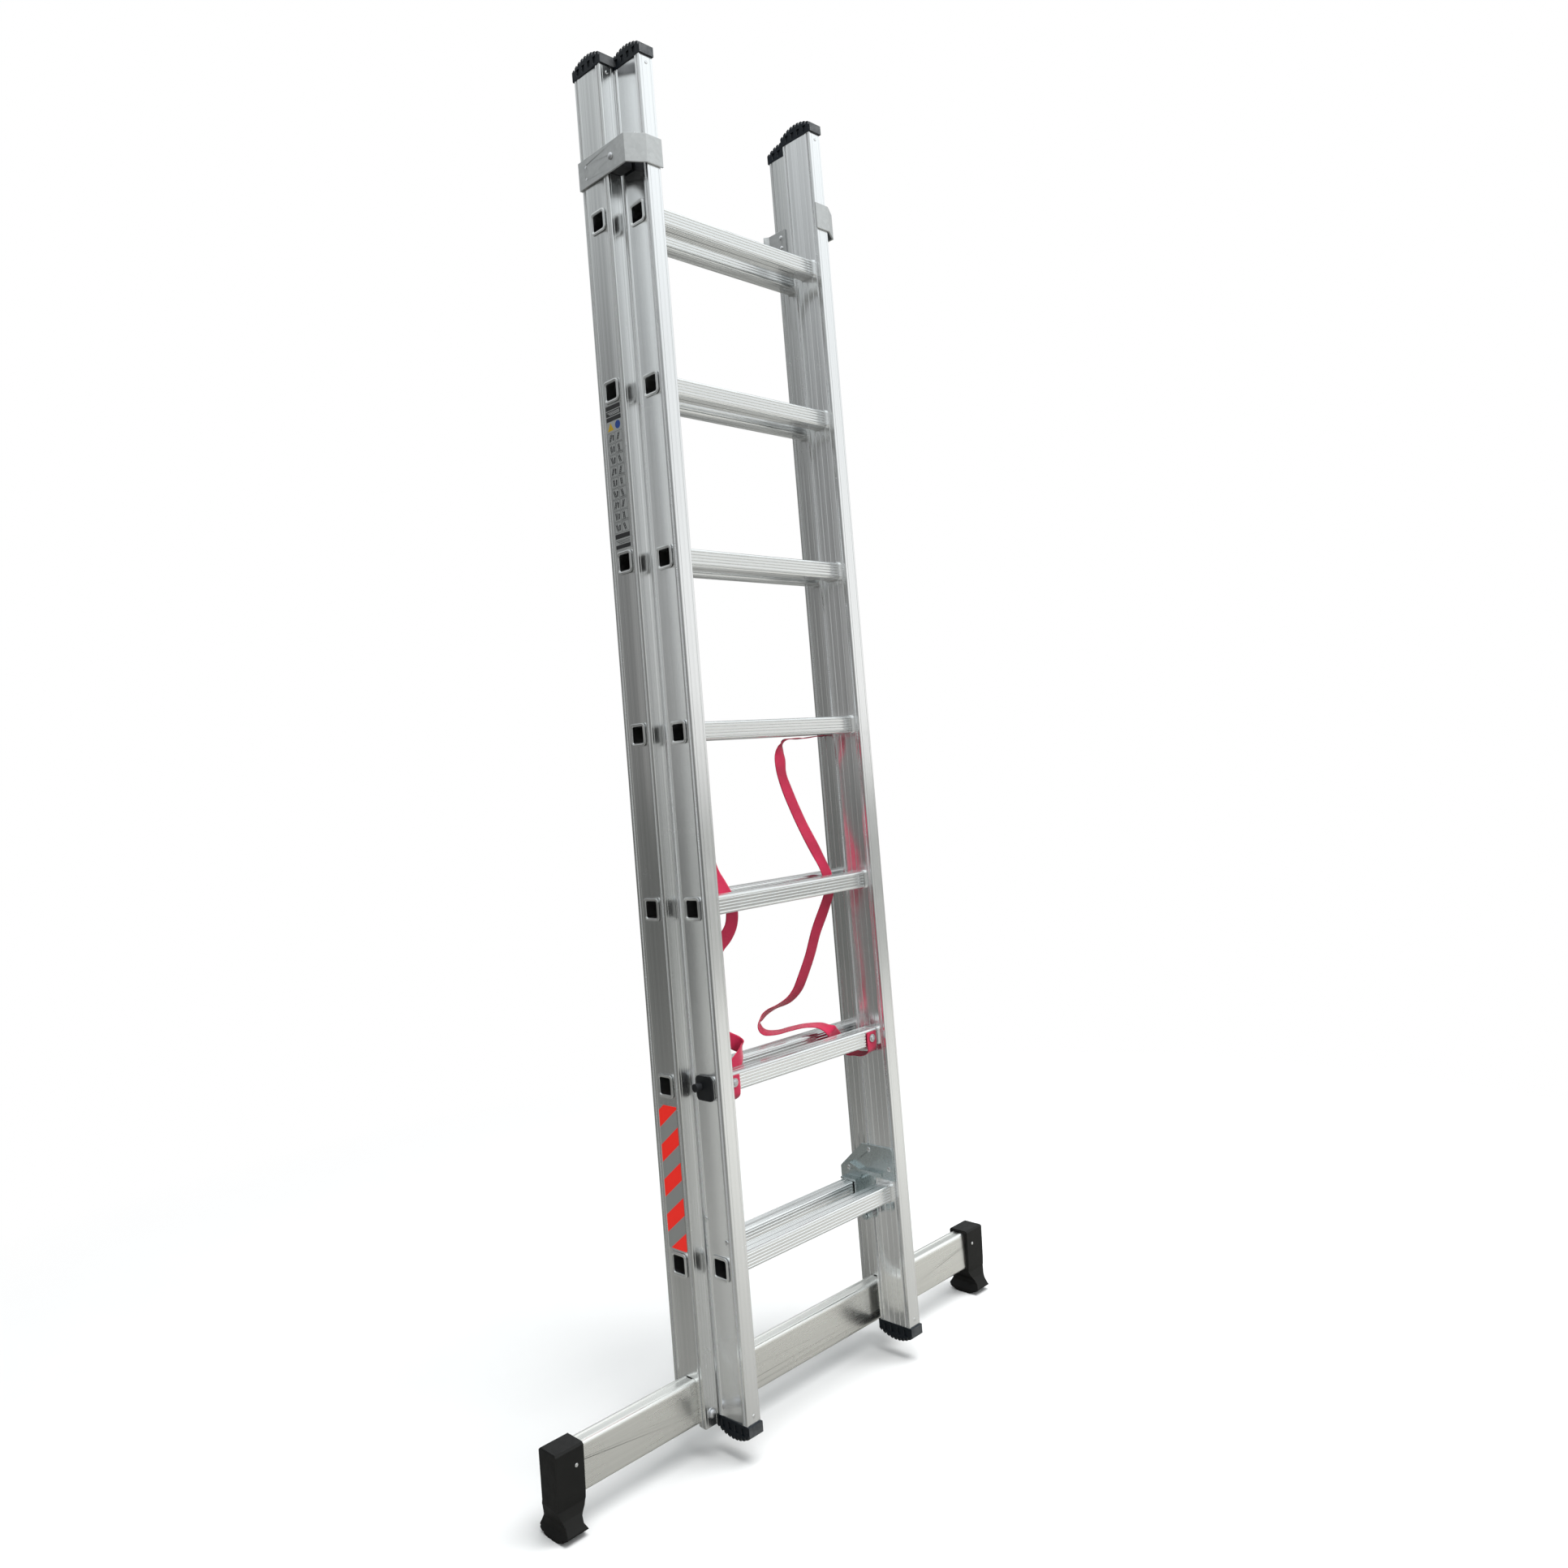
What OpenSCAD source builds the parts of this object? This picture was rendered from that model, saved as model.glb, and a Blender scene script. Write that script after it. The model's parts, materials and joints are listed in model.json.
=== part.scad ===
// Two-section aluminium extension ladder.
// +Z is up, +X is to the climber's right, and -Y faces the climber.
// The base section stands behind, and the narrower fly section slides up in front of it.

/* [Rungs] */
// Number of rungs in each section
rung_count = 7; // [5:1:8]
// Distance from one rung to the next
rung_pitch = 280; // [260:5:300]
// Outside size of the square rung tube
rung_size = 30; // [28:1:32]
// Height of the lowest base rung above the floor
first_rung_h = 295; // [285:1:310]
// How far the fly rungs hang below the base rungs
fly_drop = 2; // [1:0.5:4]

/* [Stiles] */
// Overall width of the base section
base_w = 480; // [480:5:520]
// Overall width of the fly section
fly_w = 421; // [405:2:421]
// Width of a stile seen from the front
stile_w = 27.5; // [25:0.5:27.5]
// Depth of a stile from front to back
stile_d = 70; // [66:1:70]
// Wall of a stile
stile_wall = 2; // [1.8:0.1:2.4]
// Distance from the rungs of the base forward to the rungs of the fly
section_pitch = 65; // [65:0.5:68]
// How far the stiles run on above the top rung
stile_over = 250; // [220:5:280]
// How far the fly stiles run on below the lowest rung
fly_under = 235; // [215:5:245]

/* [Stabiliser] */
// Length of the stabiliser bar with its feet
bar_len = 1012; // [900:2:1200]
// Depth of the bar tube
bar_d = 30; // [26:1:34]
// Height of the bar tube
bar_h = 70; // [60:1:72]
// Thickness of stile left in front of the bar
bar_front = 17; // [14:0.5:19]
// Length of a foot along the bar
foot_len = 48; // [44:1:56]

/* [Guide brackets] */
// Height of the bracket strip
guide_h = 47; // [40:1:52]
// Height of the strip's middle above the top rung
guide_up = 88; // [80:1:120]

/* [Straps] */
// Width of the webbing
strap_w = 25; // [20:1:26]
// Thickness of the webbing
strap_t = 1.6; // [1.2:0.1:2]

/* [Hidden] */
$fn = 48;
rear_rungs = [for (k = [1:rung_count]) str("rear_rung_", k)];
fly_rungs = [for (k = [1:rung_count]) str("fly_rung_", k)];

half_base = base_w / 2;
half_fly = fly_w / 2;
half_bar = bar_len / 2;
rung_half = rung_size / 2;
stile_mid = stile_w / 2;
// Front to back places. The two sections overlap a little, with the fly inside the base.
base_y = 32;
base_front = base_y - stile_d / 2;
base_back = base_y + stile_d / 2;
fly_y = base_y - section_pitch;
fly_front = fly_y - stile_d / 2;
// Heights
function base_rung_z(k) = first_rung_h + (k - 1) * rung_pitch;
function fly_rung_z(k) = base_rung_z(k) - fly_drop;
stile_top = base_rung_z(rung_count) + stile_over;
fly_top = stile_top - 4;
fly_bottom = first_rung_h - fly_under;
bar_top = first_rung_h - 174.5;
bar_mid_z = bar_top - bar_h / 2;
bar_face = base_front + bar_front;
bar_mid_y = bar_face + bar_d / 2;
base_bottom = bar_top - bar_h - 1.5;
guide_z = base_rung_z(rung_count) + guide_up;
// Fits
slip = 0.1;
press = 0.25;
bar_slack = 0.3;
// Rims swaged on the rung ends
rim_size = rung_size + 7.5;
rim_t = 1.5;
collar_size = rung_size + 3.5;
collar_t = 3;
tube_wall = 1.6;
// Fasteners
rivet_r = 2.4;
rivet_head_r = 4.2;
small_rivet_r = 1.6;
small_head_r = 2.8;
bolt_r = 4;
screw_r = 2.5;
// Caps
cap_lip = 0.75;
cap_over = 3;
cap_edge_h = 16;
cap_crown_h = 27;
cap_tongue = 24;
cap_rivet_in = 12;
// Guide brackets
sheet_t = 3;
guide_tab_y = fly_front - 3.5;
guide_tab_end = half_fly - stile_w - 3;
guide_bend_y = -53;
guide_return = 9;
lip_back_y = 91.5;
screw_y = -17;
// Hooks
plate_x = half_fly - stile_w;
plate_t = 3;
plate_inner = plate_x - plate_t;
notch_gap = 2;
latch_y = -10;
latch_drop = 40;
latch_pin_r = 3;
latch_fit = 0.05;
latch_w = 13;
latch_inner = plate_inner - 26;
hook_rivet_yz = [[-7, 70], [-52, 42]];
saddle_rivet_yz = [43, 31];
// Middle of the whole ladder from front to back
y_mid = (guide_tab_y + lip_back_y) / 2;

metal = "gainsboro";
zinc = "silver";
plastic = [0.1, 0.1, 0.11];

module frame() {
    translate([0, -y_mid, 0]) children();
}

// Geometry is written for the right-hand side and mirrored to the left.
module on_side(side) {
    if (side < 0)
        mirror([1, 0, 0]) children();
    else
        children();
}

// Extrudes a profile drawn in Y and Z along X, from one X to another.
module along_x(from, to) {
    translate([from, 0, 0])
        rotate([90, 0, 90])
            linear_extrude(to - from) children();
}

module rod_x(from, to, y, z, r) {
    translate([from, y, z]) rotate([0, 90, 0]) cylinder(h = to - from, r = r);
}

module rod_y(from, to, x, z, r) {
    translate([x, from, z]) rotate([-90, 0, 0]) cylinder(h = to - from, r = r);
}

// A low domed head on a base disc, standing along +Z.
module dome_head(r, h) {
    rotate_extrude()
        polygon(concat([[0, 0], [r, 0]],
            [for (a = [0:15:75]) [r * cos(a), h * (0.35 + 0.65 * sin(a))]], [[0, h]]));
}

function arc(c, r, a0, a1, n = 5) =
    [for (i = [0:n]) c + r * [cos(a0 + (a1 - a0) * i / n), sin(a0 + (a1 - a0) * i / n)]];

// Points along one face: each mark is [distance along the face, depth into it].
function face(p, along, out, marks) = [for (m = marks) p + m[0] * along - m[1] * out];

// V grooves, as marks, at the given distances.
function grooves(at, half, deep) =
    [for (s = at) each [[s - half, 0], [s, deep], [s + half, 0]]];

// A rounded rectangle, a wide and b deep, with marks on its four faces.
function outline(a, b, r, front = [], right = [], back = [], left = []) = concat(
    face([-a / 2, -b / 2], [1, 0], [0, -1], front),
    arc([a / 2 - r, -b / 2 + r], r, -90, 0),
    face([a / 2, -b / 2], [0, 1], [1, 0], right),
    arc([a / 2 - r, b / 2 - r], r, 0, 90),
    face([a / 2, b / 2], [-1, 0], [0, 1], back),
    arc([-a / 2 + r, b / 2 - r], r, 90, 180),
    face([-a / 2, b / 2], [0, -1], [-1, 0], left),
    arc([-a / 2 + r, -b / 2 + r], r, 180, 270));

// ---- Stiles ----

stile_band = [5, 6, 7, 8];
stile_outer = concat(
    grooves(stile_band, 0.35, 0.35),
    [[11.6, 0], [12.2, 0.7], [stile_d - 12.2, 0.7], [stile_d - 11.6, 0]],
    grooves([for (s = [3:-1:0]) stile_d - stile_band[s]], 0.35, 0.35));
stile_inner = grooves([for (f = [0.15, 0.32, 0.5, 0.68, 0.85]) f * stile_d], 0.8, 0.5);
stile_edge = grooves([5, stile_w - 5], 0.4, 0.4);

module stile_section() {
    difference() {
        polygon(outline(stile_w, stile_d, 1.5, stile_edge, stile_outer, stile_edge, stile_inner));
        square([stile_w - 2 * stile_wall, stile_d - 2 * stile_wall], center = true);
    }
}

module stile(x, y, bottom, top) {
    translate([x, y, bottom]) linear_extrude(top - bottom) stile_section();
}

module rung_hole(x, y, z) {
    translate([0, y, z])
        along_x(x - stile_w, x + stile_w)
            polygon(outline(rung_size + 2 * slip, rung_size + 2 * slip, 4));
}

module bar_outline(grow) {
    polygon(outline(bar_d + 2 * grow, bar_h + 2 * grow, 6));
}

// The stile's end is slotted for the bar, with a strip left in front of it and one behind.
module bar_slot(x) {
    translate([0, bar_mid_y, bar_mid_z]) {
        along_x(x - stile_w, x + stile_w) bar_outline(bar_slack);
        translate([x - stile_w, -bar_d / 2 - bar_slack, -bar_h])
            cube([2 * stile_w, bar_d + 2 * bar_slack, bar_h]);
    }
}

module rear_stile(side) {
    x = half_base - stile_mid;
    color(metal) on_side(side) difference() {
        stile(x, base_y, base_bottom, stile_top);
        for (k = [1:rung_count]) rung_hole(x, base_y, base_rung_z(k));
        bar_slot(x);
        rod_y(base_front - 1, base_back + 1, x, bolt_z, bolt_r + slip);
        rod_y(base_front - 1, base_front + stile_wall + 1, x, stile_top - cap_rivet_in,
            small_rivet_r + slip);
        for (z = guide_rivet_z) rod_x(x - stile_w, x + stile_w, guide_rivet_y, z, rivet_r + slip);
    }
}

module fly_stile(side) {
    x = half_fly - stile_mid;
    color(metal) on_side(side) difference() {
        stile(x, fly_y, fly_bottom, fly_top);
        for (k = [1:rung_count]) rung_hole(x, fly_y, fly_rung_z(k));
        for (z = [fly_bottom + cap_rivet_in, fly_top - cap_rivet_in])
            rod_y(fly_front - 1, fly_front + stile_wall + 1, x, z, small_rivet_r + slip);
        for (p = hook_rivet_yz)
            rod_x(x - stile_w, x + stile_w, p[0], first_rung_h + p[1], rivet_r + slip);
    }
}

// ---- Rungs ----

rung_grip = grooves([for (i = [-2:2]) rung_half + i * 5], 0.9, 0.8);
// A flat land is left along the middle of the tread.
rung_tread = grooves([for (i = [-3:3]) if (i != 0) rung_half + i * 3.3], 0.6, 0.6);

module rung_tube(half_len) {
    along_x(-half_len, half_len) difference() {
        polygon(outline(rung_size, rung_size, 4, rung_tread, rung_grip, rung_tread, rung_grip));
        polygon(outline(rung_size - 2 * tube_wall, rung_size - 2 * tube_wall, 3));
    }
}

module square_ring(from, to, size, bore, r) {
    along_x(from, to) difference() {
        polygon(outline(size, size, r));
        polygon(outline(bore, bore, 4));
    }
}

// A rung through both stiles, swaged against their outer and inner faces.
module rung(half_w, y, z) {
    color(metal) translate([0, y, z]) difference() {
        union() {
            rung_tube(half_w);
            for (side = [-1, 1]) on_side(side) {
                square_ring(half_w, half_w + rim_t, rim_size, rung_size - 1, 7);
                square_ring(half_w - stile_w - collar_t, half_w - stile_w, collar_size,
                    rung_size - 1, 6);
            }
        }
        children();
    }
}

module rear_rung(k) {
    rung(half_base, base_y, base_rung_z(k)) {
        if (k == strap_rear_rung)
            for (side = [-1, 1])
                translate([side * rear_screw_x, 0, -rung_size]) cylinder(h = rung_size, r = screw_r + slip);
    }
}

module fly_rung(k) {
    rung(half_fly, fly_y, fly_rung_z(k)) {
        if (k == strap_fly_rung)
            for (side = [-1, 1]) rod_y(-rung_size, 0, side * fly_screw_x, 0, screw_r + slip);
    }
}

// ---- Plastic end caps ----

cap_w = stile_w + 2 * cap_lip;
cap_d = stile_d + 2 * cap_over;
cap_teeth = 9;

// Height of the toothed crown at a place across the cap, from -0.5 to 0.5.
function crown(t) = cap_edge_h + (cap_crown_h - cap_edge_h) * (1 - 4 * t * t);

function crown_points() = [for (i = [0:cap_teeth - 1]) each
    let (t0 = 0.5 - i / cap_teeth, t1 = 0.5 - (i + 0.52) / cap_teeth, t2 = t1 - 0.33 / cap_teeth)
    [[t0 * cap_d, crown(t0)], [t1 * cap_d, crown(t1) + 0.8],
     [t1 * cap_d, crown(t1) - 4.5], [t2 * cap_d, crown(t2) - 4.5]]];

// A cap drawn upwards from the stile's end at z = 0, with a tongue down into the stile.
module cap() {
    tongue_w = stile_w - 2 * stile_wall - 2 * press;
    tongue_d = stile_d - 2 * stile_wall - 2 * press;
    difference() {
        along_x(-cap_w / 2, cap_w / 2)
            polygon(concat([[-cap_d / 2, 0], [cap_d / 2, 0]], crown_points(),
                [[-cap_d / 2, cap_edge_h]]));
        for (side = [-1, 1], i = [-1.5:1:1.5])
            translate([side * cap_w / 2, i * 15, 10]) cube([4, 7.5, 11], center = true);
    }
    translate([-tongue_w / 2, -tongue_d / 2, -cap_tongue]) cube([tongue_w, tongue_d, cap_tongue]);
}

module end_cap(x, y, z, up, side) {
    color(plastic) on_side(side) difference() {
        translate([x, y, z]) if (up)
            cap();
        else
            mirror([0, 0, 1]) cap();
        rod_y(y - stile_d, y, x, z + (up ? -cap_rivet_in : cap_rivet_in), small_rivet_r + slip);
    }
}

module cap_rivet(x, face_y, z) {
    rod_y(face_y, face_y + 10, x, z, small_rivet_r);
    translate([x, face_y, z]) rotate([90, 0, 0]) dome_head(small_head_r, 1);
}

module rear_cap_rivets() {
    color(zinc) for (side = [-1, 1])
        cap_rivet(side * (half_base - stile_mid), base_front, stile_top - cap_rivet_in);
}

module fly_cap_rivets() {
    color(zinc) for (side = [-1, 1], z = [fly_bottom + cap_rivet_in, fly_top - cap_rivet_in])
        cap_rivet(side * (half_fly - stile_mid), fly_front, z);
}

// ---- Stabiliser bar and feet ----

bar_wall = 2.5;
bar_end = half_bar - 6;
bar_groove = [[8, 0], [8.6, 1.2], [bar_d - 8.6, 1.2], [bar_d - 8, 0]];
bolt_x = half_base - stile_mid;
bolt_z = base_bottom + 20;
foot_rivet_x = half_bar - foot_len + 14;
foot_rivet_z = bar_top - 22;

module stabiliser_bar() {
    color(metal) difference() {
        translate([0, bar_mid_y, bar_mid_z]) along_x(-bar_end, bar_end) difference() {
            polygon(outline(bar_d, bar_h, 6, [], [], bar_groove));
            square([bar_d - 2 * bar_wall - 2, bar_h - 2 * bar_wall - 2], center = true);
        }
        for (side = [-1, 1]) {
            rod_y(base_front, base_back, side * bolt_x, bolt_z, bolt_r + slip);
            rod_y(0, bar_mid_y, side * foot_rivet_x, foot_rivet_z, small_rivet_r + slip);
        }
    }
}

module bar_bolts() {
    washer_t = 1.6;
    color(zinc) for (x = [-bolt_x, bolt_x]) {
        rod_y(base_front - washer_t, base_front, x, bolt_z, 8);
        rod_y(base_front - washer_t, base_back + 9, x, bolt_z, bolt_r);
        translate([x, base_front - washer_t, bolt_z]) rotate([90, 0, 0]) dome_head(6.5, 4.4);
        translate([x, base_back + washer_t, bolt_z]) rotate([-90, 0, 0])
            cylinder(h = 6.5, r = 7.5, $fn = 6);
        rod_y(base_back, base_back + washer_t, x, bolt_z, 8);
    }
}

// Side of the boot: a socket block, a waist and a flared, curved and serrated sole.
foot_front = bar_face - 8;
foot_back = bar_face + bar_d + 4;
foot_top = bar_top + 4.5;
sole_teeth = 7;
sole_front = -3;
sole_back = 65;
sole_rise = 9;

// Height of the sole at a place from 0, its front edge, to 1, its back edge.
function sole(t) = sole_rise * pow(max(abs(2 * t - 1.04) - 0.3, 0) / 0.7, 1.6);

function sole_points() = [for (i = [0:sole_teeth - 1]) each
    let (t0 = i / sole_teeth, t1 = (i + 0.78) / sole_teeth, span = sole_back - sole_front)
    [[sole_front + t0 * span, sole(t0)], [sole_front + t1 * span, sole(t1)],
     [sole_front + t1 * span, sole(t1) + 2.5], [sole_front + (t1 + 0.03) * span, sole(t1) + 2.5]]];

module foot_side() {
    polygon(concat(sole_points(), [
        [sole_back, sole_rise + 3], [59, 22], [54, 32], [50.5, 41], [foot_back, 52],
        [foot_back, foot_top - 3], [foot_back - 3, foot_top],
        [foot_front + 3, foot_top], [foot_front, foot_top - 3],
        [foot_front + 2.5, 58], [foot_front + 4, 44], [foot_front + 1, 31], [2, 21],
        [sole_front, sole_rise + 3]]));
}

// Front of the boot: pinched at the waist and narrower at the sole.
module foot_front_view() {
    inner = half_bar - foot_len;
    polygon([[inner + 5, -1], [inner + 6, 8], [inner + 12, 19], [inner + 11, 27], [inner + 4, 37],
        [inner, 46], [inner, foot_top + 1], [half_bar - 2, foot_top + 1], [half_bar, foot_top - 2],
        [half_bar, 46], [half_bar - 3, 36], [half_bar - 7, 24], [half_bar - 6, 14],
        [half_bar - 2, 6], [half_bar - 1, -1]]);
}

module stabiliser_foot(side) {
    color(plastic) on_side(side) difference() {
        intersection() {
            along_x(half_bar - foot_len, half_bar) foot_side();
            translate([0, 2 * stile_d, 0]) rotate([90, 0, 0])
                linear_extrude(4 * stile_d) foot_front_view();
        }
        translate([0, bar_mid_y, bar_mid_z])
            along_x(half_bar - 2 * foot_len, bar_end + press) bar_outline(press);
        rod_y(-stile_d, bar_mid_y, foot_rivet_x, foot_rivet_z, small_rivet_r + slip);
    }
}

module foot_rivets() {
    color(zinc) for (x = [-foot_rivet_x, foot_rivet_x]) cap_rivet(x, foot_front, foot_rivet_z);
}

// ---- Guide brackets on the base section ----

guide_rivet_y = 50;
guide_rivet_z = [guide_z - 10, guide_z + 10];

module guide_bracket(side) {
    o = half_base;
    color(zinc) on_side(side) difference() {
        translate([0, 0, guide_z - guide_h / 2]) linear_extrude(guide_h) polygon([
            [o - guide_return, base_back + sheet_t], [o + sheet_t, base_back + sheet_t],
            [o + sheet_t, guide_bend_y], [half_fly + 2, guide_tab_y], [guide_tab_end, guide_tab_y],
            [guide_tab_end, guide_tab_y + sheet_t], [half_fly + 1.2, guide_tab_y + sheet_t],
            [o, guide_bend_y + 1.7], [o, base_back], [o - guide_return, base_back]]);
        rod_x(o - 1, o + sheet_t + 1, screw_y, guide_z, 3 + slip);
        for (z = guide_rivet_z) rod_x(o - 1, o + sheet_t + 1, guide_rivet_y, z, rivet_r + slip);
    }
}

module guide_block(side) {
    inner = half_fly + rim_t + 1;
    color(plastic) on_side(side) difference() {
        translate([inner, screw_y - 15, guide_z - 19]) cube([half_base - inner, 28, 38]);
        rod_x(inner - 1, half_base + 1, screw_y, guide_z, 3 + slip);
    }
}

module guide_plate(side) {
    face_x = half_base - stile_w;
    color(zinc) on_side(side) difference() {
        translate([0, 0, guide_z - guide_h / 2]) linear_extrude(guide_h) polygon([
            [face_x, 38], [face_x, 82], [face_x - 7.6, lip_back_y], [face_x - 9.8, lip_back_y - 2],
            [face_x - sheet_t, 80.8], [face_x - sheet_t, 38]]);
        for (z = guide_rivet_z) rod_x(face_x - 5, face_x + 1, guide_rivet_y, z, rivet_r + slip);
    }
}

module guide_screws() {
    color(zinc) for (side = [-1, 1]) on_side(side) {
        rod_x(half_fly + rim_t + 4, half_base + sheet_t, screw_y, guide_z, 3);
        translate([half_base + sheet_t, screw_y, guide_z]) rotate([0, 90, 0]) dome_head(5.5, 3.4);
    }
}

module guide_rivets() {
    inner = half_base - stile_w - sheet_t;
    color(zinc) for (side = [-1, 1], z = guide_rivet_z) on_side(side) {
        rod_x(inner, half_base + sheet_t, guide_rivet_y, z, rivet_r);
        translate([inner, guide_rivet_y, z]) rotate([0, -90, 0]) dome_head(rivet_head_r, 1.6);
    }
}

// ---- Stickers in the recess of the outer faces ----

sticker_t = 0.35;
recess_x = half_base - 0.7;

module sticker(side, width, bottom, top) {
    on_side(side)
        translate([recess_x, base_y - width / 2, bottom]) cube([sticker_t, width, top - bottom]);
}

module reflective_sticker(side) {
    color("tomato") sticker(side, 44, base_rung_z(1) + 23, base_rung_z(2) - 31);
}

module instruction_label() {
    color("white") sticker(-1, 41, base_rung_z(5) + 22, base_rung_z(6) - 21);
}

// ---- Hooks on the fly section ----

// The plate lies on the fly's inner face, steps over the base rung and runs down between the rungs.
module plate_outline() {
    notch_front = base_y - rung_half - notch_gap;
    notch_back = base_y + rung_half + notch_gap;
    polygon([[-62, 22], [-15, 22], [-15, -46], [-11, -50], [notch_front - 5, -50],
        [notch_front, -44], [notch_front, rung_half + 0.3], [notch_back, rung_half + 0.3],
        [notch_back, -12], [66, -12], [66, 30], [62, 34], [10, 79], [-58, 79], [-62, 75]]);
}

module hook_plate(side) {
    color(zinc) on_side(side) difference() {
        translate([0, 0, first_rung_h]) along_x(plate_inner, plate_x) plate_outline();
        for (p = concat(hook_rivet_yz, [saddle_rivet_yz]))
            rod_x(plate_inner - 1, plate_x + 1, p[0], first_rung_h + p[1], rivet_r + slip);
        rod_x(plate_inner - 1, plate_x + 1, latch_y, first_rung_h - latch_drop, latch_pin_r + slip);
    }
}

// The bent saddle carries the fly on the base rung: shelf, front leg and a flange on the plate.
module hook_saddle(side) {
    shelf = rung_half + 0.3;
    shelf_t = 3.5;
    front = base_y - rung_half - notch_gap;
    color(zinc) on_side(side) translate([0, 0, first_rung_h]) difference() {
        union() {
            along_x(plate_inner - 22, plate_inner) polygon([
                [front, -6], [front, shelf], [base_y + rung_half + 1, shelf],
                [base_y + rung_half + 1, shelf + shelf_t], [front - 1, shelf + shelf_t],
                [front - 3.5, shelf + shelf_t - 2.5], [front - 3.5, -6]]);
            along_x(plate_inner - 3, plate_inner) polygon([
                [-34, 26], [front - 2, 23], [front, shelf + shelf_t], [57, shelf + shelf_t],
                [57, 38], [36, 43], [13, 34], [-34, 34]]);
            along_x(plate_inner - 8, plate_inner - 3) polygon([
                [-34, 31], [front, 31], [36, 40], [36, 43], [13, 34], [-34, 34]]);
        }
        rod_x(plate_inner - 4, plate_inner + 1, saddle_rivet_yz[0], saddle_rivet_yz[1],
            rivet_r + slip);
    }
}

module through_rivet(inner, outer, y, z) {
    rod_x(inner, outer, y, z, rivet_r);
    translate([inner, y, z]) rotate([0, -90, 0]) dome_head(rivet_head_r, 1.8);
    translate([outer, y, z]) rotate([0, 90, 0]) dome_head(rivet_head_r, 1.3);
}

module hook_rivets() {
    color(zinc) for (side = [-1, 1]) on_side(side) {
        for (p = hook_rivet_yz) through_rivet(plate_inner, half_fly, p[0], first_rung_h + p[1]);
        through_rivet(plate_inner - 3, plate_x, saddle_rivet_yz[0], first_rung_h + saddle_rivet_yz[1]);
    }
}

latch_z = first_rung_h - latch_drop;

module latch_pins() {
    color(zinc) for (side = [-1, 1]) on_side(side) {
        rod_x(latch_inner - 1.5, plate_x, latch_y, latch_z, latch_pin_r);
        rod_x(latch_inner - 3.5, latch_inner - 0.5, latch_y, latch_z, 5);
    }
}

// A spring flap that closes under the base rung.
module latch(side) {
    tip = base_y + rung_half - 4;
    under = -rung_half - 1.5;
    color(zinc) on_side(side) translate([0, 0, first_rung_h]) difference() {
        along_x(latch_inner, latch_inner + latch_w) union() {
            translate([latch_y, -latch_drop]) circle(7);
            polygon([[latch_y - 2, -latch_drop - 6.7], [latch_y + 4, -latch_drop - 5.6],
                [base_y, under - 8], [tip, under - 7], [tip, under - 1], [tip - 1, under],
                [base_y - rung_half, under], [latch_y + 5, -latch_drop + 8],
                [latch_y - 2, -latch_drop + 6.7]]);
        }
        rod_x(latch_inner - 1, latch_inner + latch_w + 1, latch_y, -latch_drop,
            latch_pin_r + latch_fit);
    }
}

spring_wire = 0.8;
spring_r = 4.6;
spring_turns = 5;
spring_steps = 12;
spring_sides = 6;

// Rings of points joined into a closed tube.
module skin(rings) {
    n = len(rings[0]);
    m = len(rings);
    polyhedron(
        points = [for (ring = rings) each ring],
        faces = concat(
            [[for (i = [0:n - 1]) i]],
            [for (j = [0:m - 2], i = [0:n - 1]) each let (a = j * n + i, b = j * n + (i + 1) % n)
                [[a, a + n, b + n], [a, b + n, b]]],
            [[for (i = [n - 1:-1:0]) (m - 1) * n + i]]));
}

function coil_ring(j, from, to) =
    let (t = j / (spring_turns * spring_steps), a = 360 * j / spring_steps)
    [for (i = [0:spring_sides - 1]) let (b = 360 * i / spring_sides, r = spring_r + spring_wire * cos(b))
        [from + (to - from) * t + spring_wire * sin(b), latch_y + r * cos(a), latch_z + r * sin(a)]];

module latch_springs() {
    from = latch_inner + latch_w + 1.2;
    to = plate_inner - 1.2;
    color(zinc) for (side = [-1, 1]) on_side(side)
        skin([for (j = [0:spring_turns * spring_steps]) coil_ring(j, from, to)]);
}

// ---- Over-extension stops in the ends of the second fly rung ----

module stop_plug(side) {
    z = fly_rung_z(2);
    out = half_fly + rim_t;
    color(plastic) on_side(side) {
        translate([0, fly_y, z]) {
            along_x(out, out + 3) polygon(outline(rim_size + 1, rim_size + 1, 7));
            along_x(half_fly - 14, out) polygon(outline(
                rung_size - 2 * tube_wall - 2 * press, rung_size - 2 * tube_wall - 2 * press, 3));
        }
        rod_x(out + 3, out + 14, fly_y + 10, z + 2, 6.5);
    }
}

// ---- Safety straps ----

strap_fly_rung = 2;
strap_rear_rung = 4;
fly_screw_x = 166;
rear_screw_x = 192;
rung_face = fly_y - rung_half;
strap_face_y = rung_face - 1.3;
strap_under = base_y;

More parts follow.
